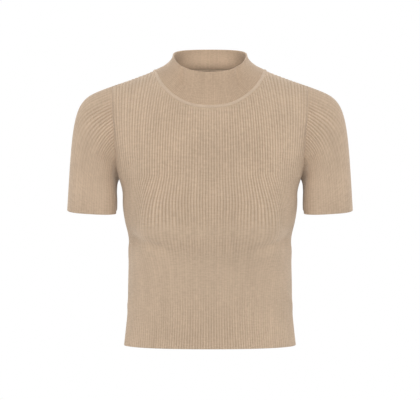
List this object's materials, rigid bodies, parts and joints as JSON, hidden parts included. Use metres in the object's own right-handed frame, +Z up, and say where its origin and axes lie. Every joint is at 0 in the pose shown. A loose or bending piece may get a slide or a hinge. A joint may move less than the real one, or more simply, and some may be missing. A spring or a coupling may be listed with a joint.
{
  "type": "short-sleeved rib-knit jumper",
  "caption": "Cropped rib-knit jumper in its worn form, hollow, with a mock neck and short set-in sleeves.",
  "frame": {"origin": "the middle of the neck base, level with the inner ends of the shoulder seams, where the shoulders carry the garment", "axes": "+Z up; the wearer faces -Y; +X towards the wearer's left arm"},
  "size_m": [0.5, 0.2195, 0.523],
  "materials": {
    "body_knit": "beige fine rib knit",
    "sleeve_knit": "beige fine rib knit",
    "collar_knit": "beige close double knit",
    "link_knit": "light beige linked seam"
  },
  "bodies": {
    "root": {"front": "body_knit", "back": "body_knit", "sleeve_left": "sleeve_knit", "sleeve_right": "sleeve_knit", "collar": "collar_knit", "neck_seam": "link_knit"}
  },
  "joints": []
}
